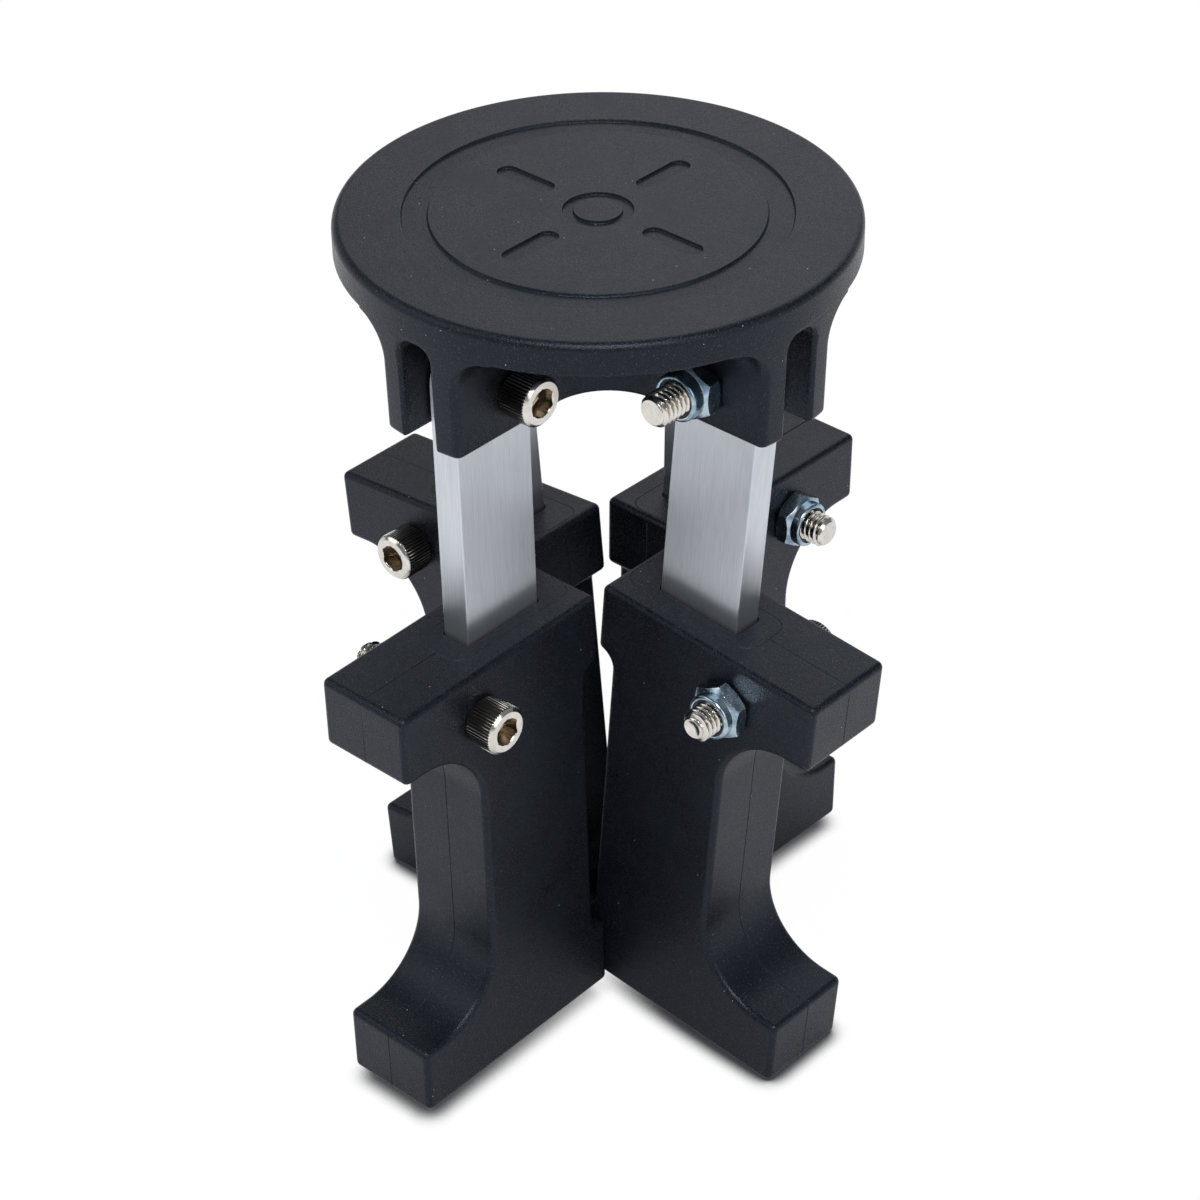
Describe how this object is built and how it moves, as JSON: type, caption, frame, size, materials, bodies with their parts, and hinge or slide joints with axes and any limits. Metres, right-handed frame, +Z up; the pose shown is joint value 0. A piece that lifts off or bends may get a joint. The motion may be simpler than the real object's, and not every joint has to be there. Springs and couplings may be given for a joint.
{
  "type": "conga riser",
  "caption": "Folding drum riser: flat bars pivot down from a round plastic hub, and a block foot with a cradle for the drum's edge slides and clamps on each bar.",
  "frame": {"origin": "on the hub's vertical axis, at the floor that the folded riser stands on", "axes": "+Z up along the hub's axis; +X out through arm 1 and +Y out through arm 2; arms are numbered counter-clockwise from above"},
  "size_m": [0.1512, 0.1606, 0.2136],
  "materials": {
    "black_plastic": "moulded, fine pebble grain",
    "bar_aluminium": "brushed along the bar",
    "nickel_steel": "bright nickel plate",
    "zinc_steel": "bright blue-white zinc plate",
    "nylon": "smooth"
  },
  "bodies": {
    "hub": {"hub": "black_plastic", "pivot_screw_1": "nickel_steel", "pivot_nut_1": "zinc_steel", "pivot_nut_insert_1": "nylon", "pivot_screw_2": "nickel_steel", "pivot_nut_2": "zinc_steel", "pivot_nut_insert_2": "nylon", "pivot_screw_3": "nickel_steel", "pivot_nut_3": "zinc_steel", "pivot_nut_insert_3": "nylon", "pivot_screw_4": "nickel_steel", "pivot_nut_4": "zinc_steel", "pivot_nut_insert_4": "nylon"},
    "arm_1": {"bar_1": "bar_aluminium"},
    "foot_1": {"foot_1": "black_plastic", "clamp_screw_1": "nickel_steel", "clamp_nut_1": "zinc_steel", "clamp_nut_insert_1": "nylon"},
    "arm_2": {"bar_2": "bar_aluminium"},
    "foot_2": {"foot_2": "black_plastic", "clamp_screw_2": "nickel_steel", "clamp_nut_2": "zinc_steel", "clamp_nut_insert_2": "nylon"},
    "arm_3": {"bar_3": "bar_aluminium"},
    "foot_3": {"foot_3": "black_plastic", "clamp_screw_3": "nickel_steel", "clamp_nut_3": "zinc_steel", "clamp_nut_insert_3": "nylon"},
    "arm_4": {"bar_4": "bar_aluminium"},
    "foot_4": {"foot_4": "black_plastic", "clamp_screw_4": "nickel_steel", "clamp_nut_4": "zinc_steel", "clamp_nut_insert_4": "nylon"}
  },
  "joints": [
    {"name": "arm_1_fold", "type": "hinge", "parent": "hub", "child": "arm_1", "pos_m": [0.0394, 0, 0.189], "axis": [0, -1, 0], "range_deg": [0, 95.02]},
    {"name": "foot_1_slide", "type": "slide", "parent": "arm_1", "child": "foot_1", "axis": [0.0875, 0, 0.9962], "range_m": [0, 0.04]},
    {"name": "arm_2_fold", "type": "hinge", "parent": "hub", "child": "arm_2", "pos_m": [0, 0.0394, 0.189], "axis": [1, 0, 0], "range_deg": [0, 91.16]},
    {"name": "foot_2_slide", "type": "slide", "parent": "arm_2", "child": "foot_2", "axis": [0, 0.0203, 0.9998], "range_m": [0, 0.04]},
    {"name": "arm_3_fold", "type": "hinge", "parent": "hub", "child": "arm_3", "pos_m": [-0.0394, 0, 0.189], "axis": [0, 1, 0], "range_deg": [0, 95.02]},
    {"name": "foot_3_slide", "type": "slide", "parent": "arm_3", "child": "foot_3", "axis": [-0.0875, 0, 0.9962], "range_m": [0, 0.04]},
    {"name": "arm_4_fold", "type": "hinge", "parent": "hub", "child": "arm_4", "pos_m": [0, -0.0394, 0.189], "axis": [-1, 0, 0], "range_deg": [0, 91.16]},
    {"name": "foot_4_slide", "type": "slide", "parent": "arm_4", "child": "foot_4", "axis": [0, -0.0203, 0.9998], "range_m": [0, 0.04]}
  ]
}
